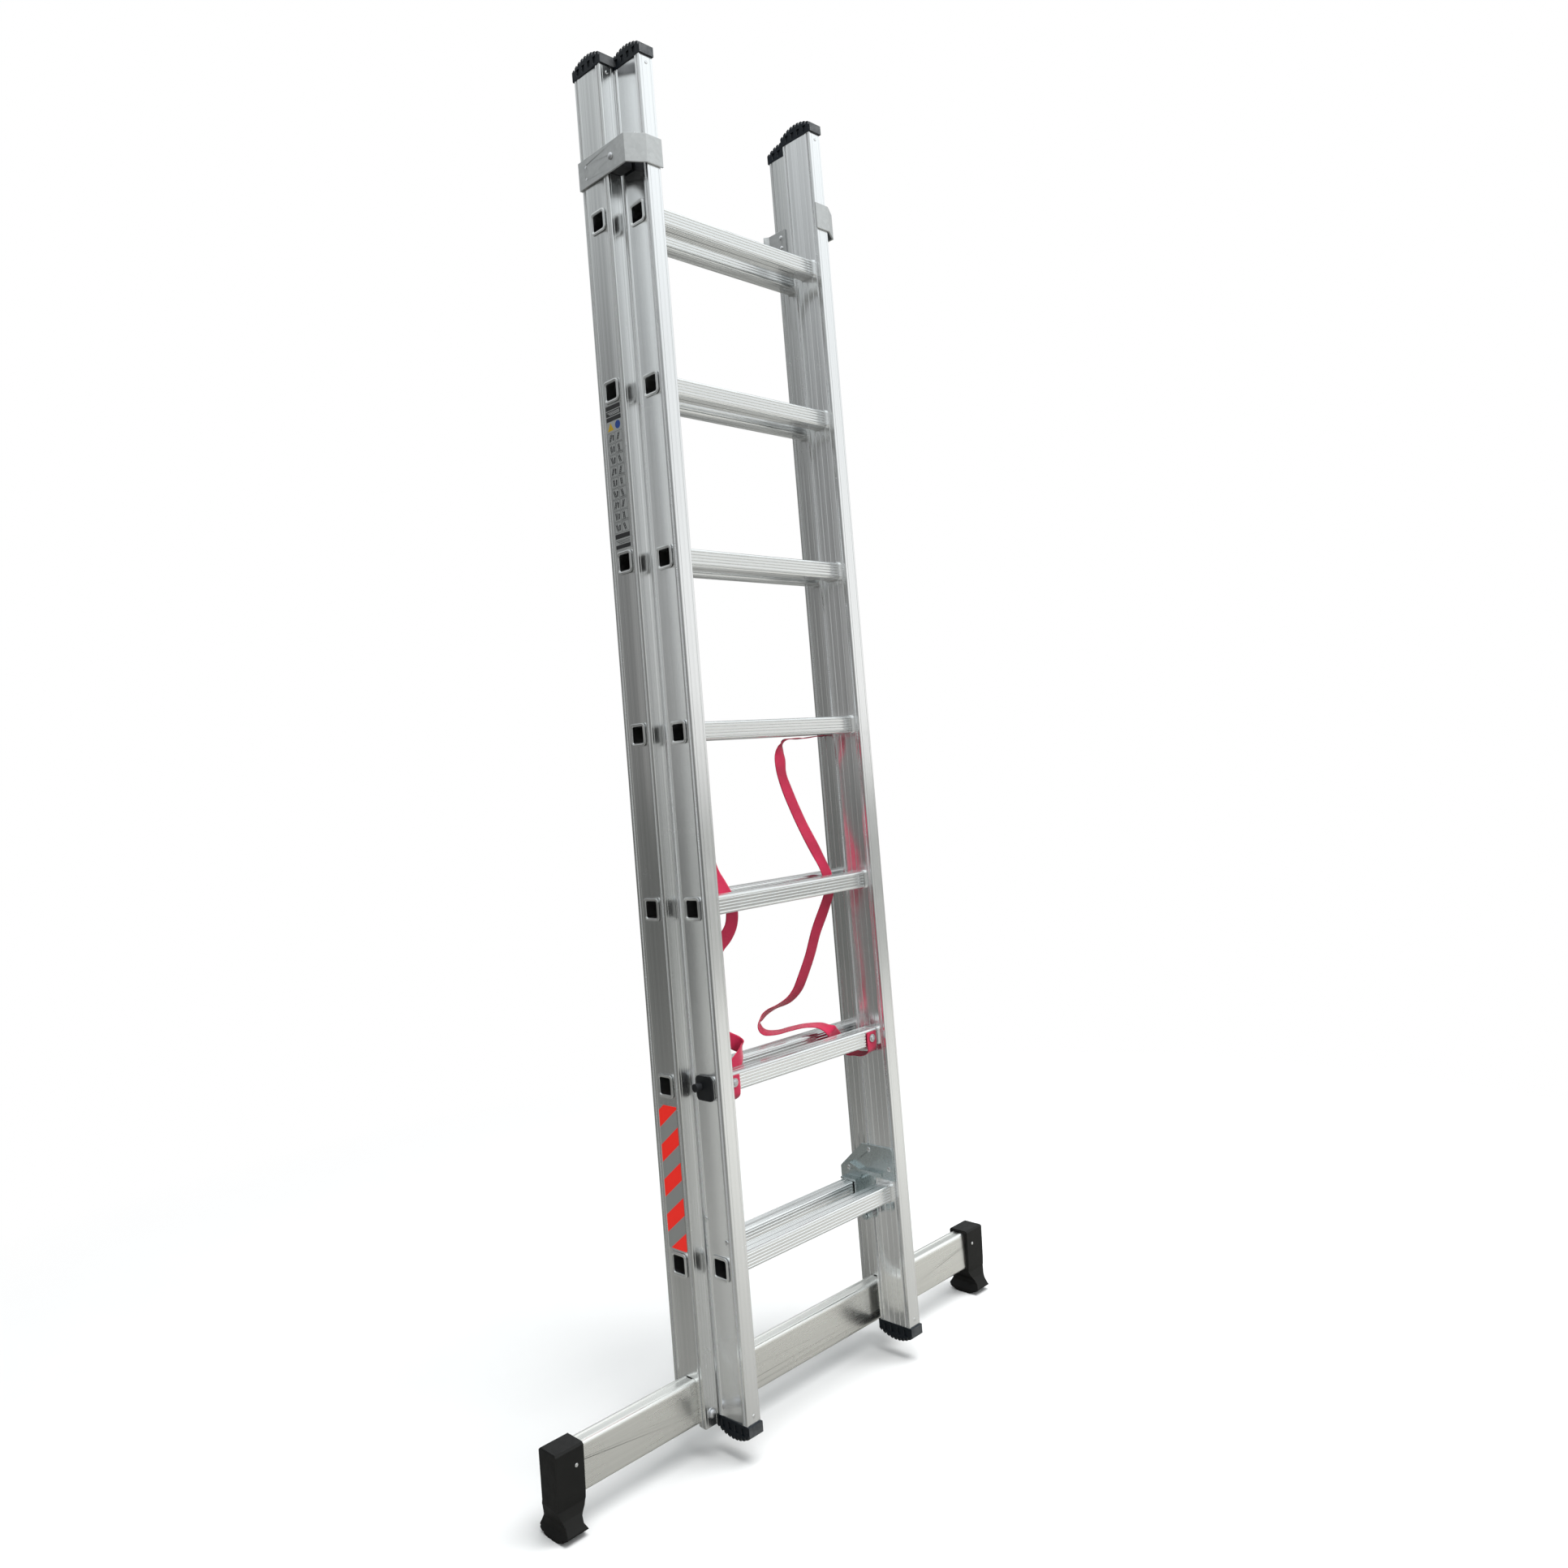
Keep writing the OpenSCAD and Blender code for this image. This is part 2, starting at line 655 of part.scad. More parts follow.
// Routes: place [x, y, z] with z above the lowest base rung, then the direction of the width.
fly_end = [
    [166, strap_face_y, 289, 1, 0, 0], [166, strap_face_y, 278, 1, 0, 0],
    [166, strap_face_y, 267, 1, 0, 0], [167, -47, 256, 1, 0.1, 0],
    [167, -38, 250, 0.97, 0.2, 0.05], [164, -27, 248, 0.93, 0.3, 0.1],
    [160, -16, 249, 0.9, 0.4, 0.1], [154, -7, 252, 0.9, 0.35, 0.25],
    [147, -2, 259, 0.88, 0.2, 0.42], [139, 0, 269, 0.86, 0, 0.5]];
right_middle = [
    [130, 0, 279, 0.85, 0, 0.5], [120, -2, 289, 0.9, 0, 0.4], [111, -4, 297, 0.97, 0, 0.2],
    [106, 1, 303, 1, 0, 0.09], [102, 11, 307, 0.98, 0.1, 0.1], [93, 22, 309, 0.9, 0.4, 0.1],
    [80, 35, 309, 0.75, 0.65, 0.1], [63, 50, 306, 0.7, 0.7, 0.1], [46, 62, 303, 0.7, 0.7, 0.1],
    [28, 70, 305, 0.7, 0.7, 0.15], [16, 74, 312, 0.72, 0.6, 0.3], [12, 75, 323, 0.75, 0.55, 0.2],
    [20, 74, 333, 0.75, 0.5, -0.3], [31, 70, 341, 0.7, 0.6, -0.45], [47, 62, 348, 0.6, 0.65, -0.4],
    [67, 51, 357, 0.75, 0.4, -0.5], [79, 41, 372, 0.95, 0.1, -0.3], [85, 32, 392, 1, 0, -0.2],
    [96, 18, 433, 1, 0, -0.15], [105, 7, 474, 1, 0, -0.15], [126, 3, 511, 1, 0, -0.15],
    [138, -1, 538, 1, 0, -0.1], [140, -1, 558, 1, 0, -0.1], [136, 1, 580, 1, 0, -0.1],
    [125, 8, 612, 1, 0, -0.1], [97, 8, 659, 1, 0.05, -0.1], [75, 8, 702, 1, 0.05, -0.05],
    [58, 9, 744, 1, 0.05, -0.05], [60, 17, 768, 1, 0.1, 0], [72, 28, 790, 1, 0.1, 0],
    [80, 32, 804, 0.9, 0.4, -0.2], [86, strap_under, 814, 0.5, 0.8, -0.3],
    [97, strap_under, 820, 0.1, 1, 0], [114, strap_under, 821, 0, 1, 0],
    [134, strap_under, 820, 0, 1, 0]];
left_middle = [
    [129, -1, 280, 0.7, 0, 0.7], [118, -1, 290, 0.4, 0, 0.9], [106, 1, 298, 0.15, 0, 1],
    [96, 6, 304, 0, 0, 1], [89, 13, 310, 0, 0, 1], [93, 21, 317, 0, 0, 1],
    [105, 26, 325, -0.2, 0, 1], [120, 29, 335, -0.4, 0, 0.9], [136, 30, 348, -0.6, -0.1, 0.8],
    [149, 29, 365, -0.75, -0.2, 0.6], [157, 26, 387, -0.8, -0.3, 0.35], [159, 22, 412, -0.8, -0.5, 0.1],
    [153, 12, 440, -0.9, -0.3, -0.1], [141, 8, 467, -0.9, -0.1, -0.3],
    [125, 6, 487, -0.85, -0.1, -0.4], [110, 5, 499, -0.85, -0.1, -0.4], [100, 3, 514, -0.95, -0.1, -0.2],
    [97, 1, 532, -1, -0.1, 0], [100, -1, 550, -1, 0, 0.1], [108, -1, 567, -1, 0, 0.2],
    [116, 4, 585, -1, -0.1, 0.2], [126, 9, 608, -1, -0.1, 0.2], [136, 9, 645, -1, -0.05, 0.1],
    [142, 8, 690, -1, -0.05, 0], [144, 8, 735, -1, -0.05, 0], [142, 16, 765, -1, -0.1, 0],
    [140, 28, 785, -0.95, -0.3, 0], [139, 32, 800, -0.8, -0.6, 0], [140, strap_under, 810, -0.5, -0.8, 0.2],
    [146, strap_under, 818, -0.1, -1, 0]];
rear_end = [
    [160, strap_under, 822, 0, 1, 0], [180, strap_under, 823.2, 0, 1, 0],
    [192, strap_under, 823.2, 0, 1, 0], [204, strap_under, 823.2, 0, 1, 0]];
strap_steps = 3;

function blend(a, b, c, d, t) = 0.5 * (2 * b + (c - a) * t
    + (2 * a - 5 * b + 4 * c - d) * t * t + (3 * b - a - 3 * c + d) * t * t * t);

// A smooth curve through the points, with strap_steps stretches between neighbours.
function smooth(p) = let (n = len(p)) concat(
    [for (i = [0:n - 2], s = [0:strap_steps - 1])
        blend(p[max(i - 1, 0)], p[i], p[i + 1], p[min(i + 2, n - 1)], s / strap_steps)],
    [p[n - 1]]);

function place(p) = [p[0], p[1], p[2] + first_rung_h];
function unit(v) = v / norm(v);

// The four corners of the webbing at one point of its route.
function strap_ring(path, i) = let (
    n = len(path), p = path[i],
    along = unit(place(path[min(i + 1, n - 1)]) - place(path[max(i - 1, 0)])),
    width = [p[3], p[4], p[5]],
    across = unit(width - (width * along) * along) * strap_w / 2,
    up = cross(along, unit(across)) * strap_t / 2)
    [place(p) + across + up, place(p) - across + up, place(p) - across - up, place(p) + across - up];

// The same route with its width turned about, which leaves the webbing where it is.
function turned(route) = [for (p = route) [p[0], p[1], p[2], -p[3], -p[4], -p[5]]];

module strap(side, route) {
    path = smooth(route);
    color("crimson") on_side(side) difference() {
        skin([for (i = [0:len(path) - 1]) strap_ring(path, i)]);
        rod_y(rung_face - 5, rung_face, fly_screw_x, fly_rung_z(strap_fly_rung), screw_r + 0.5);
        translate([rear_screw_x, base_y, base_rung_z(strap_rear_rung) - rung_half - 5])
            cylinder(h = 5, r = screw_r + 0.5);
    }
}

module washer_screw(grip, reach) {
    translate([0, 0, -reach]) cylinder(h = reach + grip, r = screw_r);
    translate([0, 0, grip]) cylinder(h = 1.2, r = 7);
    translate([0, 0, grip + 1.2]) dome_head(4.6, 2.6);
}

module fly_strap_screws() {
    color(zinc) for (x = [-fly_screw_x, fly_screw_x])
        translate([x, rung_face, fly_rung_z(strap_fly_rung)]) rotate([90, 0, 0])
            washer_screw(2.4, 6);
}

module rear_strap_screws() {
    color(zinc) for (x = [-rear_screw_x, rear_screw_x])
        translate([x, base_y, base_rung_z(strap_rear_rung) - rung_half]) rotate([180, 0, 0])
            washer_screw(2.9, 6);
}

for (k = [1:rung_count]) {
    frame() rear_rung(k);
    frame() fly_rung(k);
}
frame() rear_stile(-1);  // rear_stile_left
frame() rear_stile(1);  // rear_stile_right
frame() end_cap(half_base - stile_mid, base_y, stile_top, true, -1);  // rear_top_cap_left
frame() end_cap(half_base - stile_mid, base_y, stile_top, true, 1);  // rear_top_cap_right
frame() rear_cap_rivets();
frame() stabiliser_bar();
frame() stabiliser_foot(-1);  // stabiliser_foot_left
frame() stabiliser_foot(1);  // stabiliser_foot_right
frame() bar_bolts();
frame() foot_rivets();
frame() guide_bracket(-1);  // guide_bracket_left
frame() guide_bracket(1);  // guide_bracket_right
frame() guide_block(-1);  // guide_block_left
frame() guide_block(1);  // guide_block_right
frame() guide_plate(-1);  // guide_plate_left
frame() guide_plate(1);  // guide_plate_right
frame() guide_screws();
frame() guide_rivets();
frame() reflective_sticker(-1);  // reflective_sticker_left
frame() reflective_sticker(1);  // reflective_sticker_right
frame() instruction_label();
frame() rear_strap_screws();
frame() fly_stile(-1);  // fly_stile_left
frame() fly_stile(1);  // fly_stile_right
frame() end_cap(half_fly - stile_mid, fly_y, fly_top, true, -1);  // fly_top_cap_left
frame() end_cap(half_fly - stile_mid, fly_y, fly_top, true, 1);  // fly_top_cap_right
frame() end_cap(half_fly - stile_mid, fly_y, fly_bottom, false, -1);  // fly_foot_cap_left
frame() end_cap(half_fly - stile_mid, fly_y, fly_bottom, false, 1);  // fly_foot_cap_right
frame() fly_cap_rivets();
frame() hook_plate(-1);  // hook_plate_left
frame() hook_plate(1);  // hook_plate_right
frame() hook_saddle(-1);  // hook_saddle_left
frame() hook_saddle(1);  // hook_saddle_right
frame() hook_rivets();
frame() latch_pins();
frame() latch_springs();
frame() latch(-1);  // latch_left
frame() latch(1);  // latch_right
frame() stop_plug(-1);  // stop_plug_left
frame() stop_plug(1);  // stop_plug_right
frame() fly_strap_screws();
frame() strap(-1, concat(fly_end, left_middle, turned(rear_end)));  // strap_left
frame() strap(1, concat(fly_end, right_middle, rear_end));  // strap_right
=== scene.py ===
"""Looks for the two-section aluminium extension ladder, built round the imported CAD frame."""

import json
import math

import bpy
from mathutils import Matrix, Vector


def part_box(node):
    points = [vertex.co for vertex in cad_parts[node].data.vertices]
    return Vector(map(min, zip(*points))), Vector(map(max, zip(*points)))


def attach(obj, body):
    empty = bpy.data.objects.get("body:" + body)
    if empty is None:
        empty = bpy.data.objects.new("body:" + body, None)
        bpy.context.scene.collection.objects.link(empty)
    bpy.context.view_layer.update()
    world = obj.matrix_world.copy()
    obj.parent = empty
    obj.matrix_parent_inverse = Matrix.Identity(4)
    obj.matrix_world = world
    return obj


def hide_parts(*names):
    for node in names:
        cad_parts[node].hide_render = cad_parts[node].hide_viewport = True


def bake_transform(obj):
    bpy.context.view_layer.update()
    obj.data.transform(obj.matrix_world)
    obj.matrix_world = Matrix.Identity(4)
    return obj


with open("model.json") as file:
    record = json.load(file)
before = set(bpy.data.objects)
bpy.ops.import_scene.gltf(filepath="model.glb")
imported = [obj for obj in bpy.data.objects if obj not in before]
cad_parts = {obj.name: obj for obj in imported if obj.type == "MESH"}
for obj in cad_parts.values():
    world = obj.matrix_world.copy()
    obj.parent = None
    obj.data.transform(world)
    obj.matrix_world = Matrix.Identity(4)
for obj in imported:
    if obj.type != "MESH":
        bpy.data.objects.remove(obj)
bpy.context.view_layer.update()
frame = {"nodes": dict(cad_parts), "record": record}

nodes = frame["nodes"]
MM = 0.001
# The stiles' own drawing has its zero at the front of the base stiles and at the lowest rung.
DRAWING_Y = -10
DRAWING_Z = 295

# ---- Materials ----

# Pattern sizes in metres. The band and the dish are measured from the middle of a stile's depth.
ALONG_X, ALONG_Z = 0, 2
FINE_LINES, BROAD_LINES = (0.0024, 6), (0.018, 8)
LINE_RELIEF = 0.0006
BASE_Y, FLY_Y = 0.022, -0.043
BAND_FROM, BAND_TO = 0.0266, 0.0302
KNURL_PITCH, KNURL_RELIEF = 0.0026, 0.0006
DISH_HALF, DISH_DEPTH = 0.0226, 0.0030
STRIPE_PERIOD, STRIPE_START = 0.0552, 0.4853
STRIPE_SLOPE = 0.76
WEAVE_ACROSS, WEAVE_ALONG = 0.0026, 0.0022


class Shader:
    """Builds a node material. An input that is a socket is linked, and any other is set as a value."""

    def __init__(self, name, **surface):
        self.material = bpy.data.materials.new(name)
        self.material.use_nodes = True
        self.tree = self.material.node_tree
        self.surface = self.tree.nodes["Principled BSDF"]
        self.put(self.surface, {k.replace("_", " "): v for k, v in surface.items()})

    def put(self, node, inputs):
        for key, value in inputs.items():
            if isinstance(value, bpy.types.NodeSocket):
                self.tree.links.new(value, node.inputs[key])
            else:
                node.inputs[key].default_value = value

    def node(self, kind, out=0, inputs=None, **properties):
        node = self.tree.nodes.new("ShaderNode" + kind)
        for name, value in properties.items():
            setattr(node, name, value)
        self.put(node, inputs or {})
        return node.outputs[out]

    def place(self, scale=(1, 1, 1)):
        """The row frame's own coordinates, stretched by scale."""
        where = self.node("TexCoord", "Object")
        return self.node("VectorMath", 0, {0: where, 1: scale}, operation="MULTIPLY")

    def noise(self, vector, detail=2.0, roughness=0.5):
        return self.node("TexNoise", "Fac", {"Vector": vector, "Scale": 1.0, "Detail": detail,
                                             "Roughness": roughness})

    def span(self, value, low, high, to_low=0.0, to_high=1.0):
        """Maps value's stretch from low to high onto to_low to to_high, and clamps it."""
        return self.node("MapRange", 0, {0: value, 1: low, 2: high, 3: to_low, 4: to_high})

    def math(self, operation, a, b=0.0):
        return self.node("Math", 0, {0: a, 1: b}, operation=operation)

    def mix(self, factor, a, b):
        return self.node("Mix", 2, {0: factor, 6: (*a, 1) if isinstance(a, tuple) else a,
                                    7: (*b, 1) if isinstance(b, tuple) else b}, data_type="RGBA")

    def bump(self, height, strength, distance, under=None):
        inputs = {"Height": height, "Strength": strength, "Distance": distance}
        if under is not None:
            inputs["Normal"] = under
        return self.node("Bump", 0, inputs)

    def finish(self, **surface):
        self.put(self.surface, {k.replace("_", " "): v for k, v in surface.items()})
        return self.material


def extruded(name, along, light, dark, rough, streak, centre_y=None):
    """Mill finish aluminium, with die lines that run along one axis.

    With centre_y, a stile's middle, a knurled band runs beside the recess of each outer face.
    """

    def lines(width, length):
        scale = [1 / width] * 3
        scale[along] = 1 / length
        return tuple(scale)

    s = Shader(name, Metallic=1.0)
    fine = s.noise(s.place(lines(*FINE_LINES)), 1)
    broad = s.noise(s.place(lines(*BROAD_LINES)), 1)
    cloud = s.noise(s.place((7, 7, 7)), 2, 0.5)
    smudge = s.span(s.noise(s.place((31, 31, 31)), 4, 0.7), 0.56, 0.78)
    tone = s.math("ADD", s.math("MULTIPLY", fine, 0.7), s.math("MULTIPLY", broad, 0.3))
    color = s.mix(s.span(tone, 0.35, 0.65), dark, light)
    rough_a = s.span(fine, 0.3, 0.7, rough - 0.01, rough + 0.01)
    rough_b = s.math("ADD", rough_a, s.span(cloud, 0.35, 0.7, 0.0, 0.05))
    roughness = s.math("ADD", rough_b, s.math("MULTIPLY", smudge, 0.06))
    height = s.math("ADD", s.math("MULTIPLY", fine, 0.04), s.math("MULTIPLY", broad, 0.6))
    normal = s.bump(height, streak, LINE_RELIEF)
    if centre_y is not None:
        spot = s.node("SeparateXYZ", 0, {0: s.node("TexCoord", "Object")}).node
        off = s.math("ABSOLUTE", s.math("SUBTRACT", spot.outputs[1], centre_y))
        band = s.math("MULTIPLY", s.math("GREATER_THAN", off, BAND_FROM), s.math("LESS_THAN", off, BAND_TO))
        knurl = s.math("SINE", s.math("MULTIPLY", spot.outputs[2], 2 * math.pi / KNURL_PITCH))
        shade = s.math("MULTIPLY", band, s.span(knurl, -1, 1, 0.1, 0.75))
        color = s.mix(shade, color, tuple(c * 0.5 for c in dark))
        share = s.math("MULTIPLY", s.math("MINIMUM", off, DISH_HALF), 1 / DISH_HALF)
        dish = s.bump(s.math("MULTIPLY", share, share), 1.0, DISH_DEPTH, normal)
        normal = s.bump(s.math("MULTIPLY", band, knurl), 0.6, KNURL_RELIEF, dish)
        roughness = s.math("ADD", roughness, s.math("MULTIPLY", band, 0.06))
    return s.finish(Base_Color=color, Roughness=roughness, Normal=normal)


def zinc(name, light, dark, rough, grain=60):
    """Zinc-plated sheet and fasteners, with soft spangle."""
    s = Shader(name, Metallic=1.0)
    cells = s.node("TexVoronoi", "Color", {"Vector": s.place((grain, grain, grain)), "Scale": 3.0})
    gray = s.node("RGBToBW", 0, {0: cells})
    fog = s.noise(s.place((40, 40, 40)), 4, 0.65)
    tone = s.math("ADD", s.math("MULTIPLY", gray, 0.25), s.math("MULTIPLY", fog, 0.75))
    color = s.mix(s.span(tone, 0.3, 0.7), dark, light)
    scratches = s.noise(s.place((300, 300, 2500)), 2)
    roughness = s.math("ADD", s.span(fog, 0.3, 0.7, rough - 0.06, rough + 0.08),
                       s.span(scratches, 0.4, 0.6, 0.0, 0.04))
    return s.finish(Base_Color=color, Roughness=roughness, Normal=s.bump(scratches, 0.08, 0.0003))


def moulded(name, dark, dust_and_sheen_color, rough, dust_and_sheen_level=0.5, pebble=0.25):
    """Black moulded plastic or rubber: fine texture, with pale patches on the faces turned to the front that
    are partly a dusting and partly a painted sheen, and scuffs.
    """
    s = Shader(name, Specular_IOR_Level=0.22)
    fine = s.noise(s.place((2200, 2200, 2200)), 2)
    patch = s.noise(s.place((55, 55, 55)), 4, 0.7)
    scuff = s.span(s.noise(s.place((900, 160, 160)), 3, 0.7), 0.6, 0.72)
    # Painted sheen: faces turned to the front, toward the bright side of the room, are mixed toward the pale
    # grey in place of their reflection. The patch noise makes it uneven, as real dust would be; the scuffs
    # are wear.
    normal = s.node("NewGeometry", "Normal")
    front = s.math("MULTIPLY", s.node("SeparateXYZ", 1, {0: normal}), -1.0)
    front_sheen = s.span(front, 0.3, 0.95)
    shade = s.math("MULTIPLY", front_sheen, s.span(patch, 0.3, 0.62, 0.25, 1.0))
    patchy_front_sheen = s.math("MULTIPLY", shade, dust_and_sheen_level)
    dust_and_sheen = s.math("MAXIMUM", patchy_front_sheen, s.math("MULTIPLY", scuff, 0.35 * dust_and_sheen_level))
    color = s.mix(dust_and_sheen, dark, dust_and_sheen_color)
    roughness = s.math("ADD", s.span(patch, 0.3, 0.7, rough - 0.06, rough + 0.1),
                       s.math("MULTIPLY", dust_and_sheen, 0.15))
    return s.finish(Base_Color=color, Roughness=roughness, Normal=s.bump(fine, pebble, 0.0002))


def printed(name, color, rough=0.35):
    """Ink or film with a slight mottle."""
    s = Shader(name)
    mottle = s.noise(s.place((600, 600, 600)), 2)
    darker = tuple(c * 0.86 for c in color)
    return s.finish(Base_Color=s.mix(s.span(mottle, 0.35, 0.65), darker, color),
                    Roughness=s.span(mottle, 0.3, 0.7, rough - 0.04, rough + 0.06))


def reflective(name, red, grey):
    """Diagonal stripes on a honeycomb of reflective cells. The stripes also glow a little: a painted glow in
    place of the film's retro-reflection.
    """
    s = Shader(name, Coat_Weight=0.1, Coat_Roughness=0.12, Specular_IOR_Level=0.3)
    spot = s.node("SeparateXYZ", 0, {0: s.node("TexCoord", "Object")}).node
    rise = s.math("ADD", spot.outputs[2], s.math("MULTIPLY", spot.outputs[1], STRIPE_SLOPE))
    turn = s.math("FRACT", s.math("DIVIDE", s.math("SUBTRACT", rise, STRIPE_START), STRIPE_PERIOD))
    is_red = s.math("LESS_THAN", turn, 0.5)
    honeycomb = {"Vector": s.place((420, 420, 420)), "Scale": 1.0, "Randomness": 0.0}
    cells = s.node("TexVoronoi", "Distance", honeycomb, feature="DISTANCE_TO_EDGE")
    seam = s.span(cells, 0.0, 0.12, 0.8, 1.0)
    base = s.mix(is_red, grey, red)
    color = s.mix(seam, (0.1, 0.1, 0.1), base)
    mottle = s.noise(s.place((90, 90, 90)), 3)
    # Painted glow: the surface colour is emitted, standing in for the light the film bounces back.
    return s.finish(Base_Color=color, Roughness=s.span(mottle, 0.3, 0.7, 0.3, 0.42),
                    Emission_Color=color, Emission_Strength=0.22, Normal=s.bump(cells, 0.2, 0.0002))


def woven(name, light, dark):
    """Webbing: ribs across and cords along, read from a map in metres along and across the strap. Its colour
    is painted darker in the weave's hollows, as shade.
    """
    s = Shader(name, Sheen_Weight=0.35, Sheen_Roughness=0.4)
    spot = s.node("SeparateXYZ", 0, {0: s.node("UVMap", 0)}).node
    along, across = spot.outputs[0], spot.outputs[1]

    def wave(value, pitch):
        return s.math("SINE", s.math("MULTIPLY", value, 2 * math.pi / pitch))

    cord = wave(across, WEAVE_ACROSS)
    slant = s.math("ADD", along, s.math("MULTIPLY", s.math("ABSOLUTE", cord), WEAVE_ALONG * 0.25))
    rib = wave(slant, WEAVE_ALONG)
    weave = s.math("MULTIPLY", s.math("ADD", s.math("MULTIPLY", cord, rib), 1.0), 0.5)
    fuzz = s.noise(s.place((3500, 3500, 3500)), 3, 0.7)
    fade = s.noise(s.place((30, 30, 30)), 3)
    height = s.math("ADD", weave, s.math("MULTIPLY", fuzz, 0.35))
    # Painted shade: the low parts of the weave take the darker colour, a shaded tone of the same red. The
    # fade noise also moves it at random.
    tone = s.math("ADD", s.math("MULTIPLY", weave, 0.6), s.math("MULTIPLY", fade, 0.4))
    return s.finish(Base_Color=s.mix(s.span(tone, 0.2, 0.85), dark, light),
                    Roughness=s.span(fuzz, 0.3, 0.7, 0.6, 0.8), Normal=s.bump(height, 0.6, 0.0004))


MATERIALS = {
    "stile_aluminium": extruded("mill_stile", ALONG_Z, (0.85, 0.86, 0.86), (0.70, 0.71, 0.71),
                                0.21, 0.24, BASE_Y),
    # Painted highlight: the fly stiles' aluminium is a lighter copy of the stile aluminium, standing in for
    # the brighter sheen on their outer faces. Its smaller streak and roughness make it smoother.
    "fly_stile": extruded("mill_fly_stile_painted_highlight", ALONG_Z, (0.96, 0.97, 0.98), (0.90, 0.91, 0.92),
                          0.19, 0.10, FLY_Y),
    "rung_aluminium": extruded("mill_rung", ALONG_X, (0.88, 0.89, 0.89), (0.82, 0.83, 0.83), 0.18, 0.12),
    "bar_aluminium": extruded("mill_bar", ALONG_X, (0.93, 0.93, 0.90), (0.89, 0.89, 0.86), 0.25, 0.10),
    "rivet_steel": zinc("rivet_metal", (0.90, 0.91, 0.92), (0.72, 0.73, 0.74), 0.16, 200),
    "polished_rim": zinc("polished_rim", (0.90, 0.91, 0.91), (0.82, 0.83, 0.83), 0.12, 90),
    # The second colour of the caps, feet and blocks is the pale grey of their dust and painted front sheen.
    "cap_plastic": moulded("cap_black", (0.004, 0.007, 0.011), (0.07, 0.073, 0.076), 0.46, 0.9),
    "foot_rubber": moulded("foot_black", (0.004, 0.004, 0.004), (0.02, 0.02, 0.018), 0.5, 0.3),
    "bracket_steel": zinc("bracket_grey", (0.66, 0.67, 0.67), (0.54, 0.55, 0.55), 0.42),
    "block_plastic": moulded("block_black", (0.012, 0.013, 0.015), (0.05, 0.05, 0.055), 0.4, 0.3),
    "hook_zinc": zinc("hook_bright", (0.60, 0.66, 0.67), (0.52, 0.58, 0.59), 0.24, 130),
    "spring_steel": zinc("spring_wire", (0.55, 0.55, 0.57), (0.40, 0.40, 0.42), 0.3, 150),
    "screw_zinc": zinc("screw_bright", (0.72, 0.73, 0.75), (0.52, 0.53, 0.55), 0.26, 150),
    "reflective_film": reflective("reflective_stripes", (1.0, 0.022, 0.012), (0.24, 0.245, 0.24)),
    "label_film": printed("label_silver", (0.40, 0.41, 0.41)),
    "webbing": woven("crimson_webbing", (0.60, 0.012, 0.075), (0.26, 0.004, 0.028)),
}

# ---- Carried-over CAD nodes: their materials and fine edge rounding ----

slots = {p["node"]: p["material_slot"] for p in frame["record"]["subparts"]}
ROUNDING_MM = {
    "stile_aluminium": 0.12, "rung_aluminium": 0.12, "bar_aluminium": 0.3, "cap_plastic": 0.25,
    "foot_rubber": 1.0, "bracket_steel": 0.5, "block_plastic": 0.5, "hook_zinc": 0.4,
    "screw_zinc": 0.15, "rivet_steel": 0.15,
}
SHARP_ANGLE = 35


def dress(name, node):
    # The fly stiles take the lighter copy, with its painted highlight.
    look = "fly_stile" if name.startswith("fly_stile") else slots[name]
    for slot in node.material_slots:
        slot.material = MATERIALS[look]
    width = ROUNDING_MM.get(slots[name])
    if width:
        weld = node.modifiers.new("weld", "WELD")
        weld.merge_threshold = 1e-6
        bevel = node.modifiers.new("edges", "BEVEL")
        bevel.width = width * MM
        bevel.segments = 2
        bevel.limit_method = "ANGLE"
        bevel.angle_limit = math.radians(SHARP_ANGLE)


for name, node in nodes.items():
    dress(name, node)

# ---- Mesh helpers ----


def mesh_object(name, points, faces, material, uv=None, smooth=False):
    mesh = bpy.data.meshes.new(name)
    mesh.from_pydata(points, [], faces)
    mesh.validate()
    if uv:
        layer = mesh.uv_layers.new(name="UVMap")
        for loop in mesh.loops:
            layer.data[loop.index].uv = uv[loop.vertex_index]
    for polygon in mesh.polygons:
        polygon.use_smooth = smooth
    mesh.materials.append(material)
    thing = bpy.data.objects.new(name, mesh)
    bpy.context.scene.collection.objects.link(thing)
    return thing


# ---- Straps ----

STRAP_WIDTH = 25 * MM
STRAP_THICKNESS = 1.6 * MM
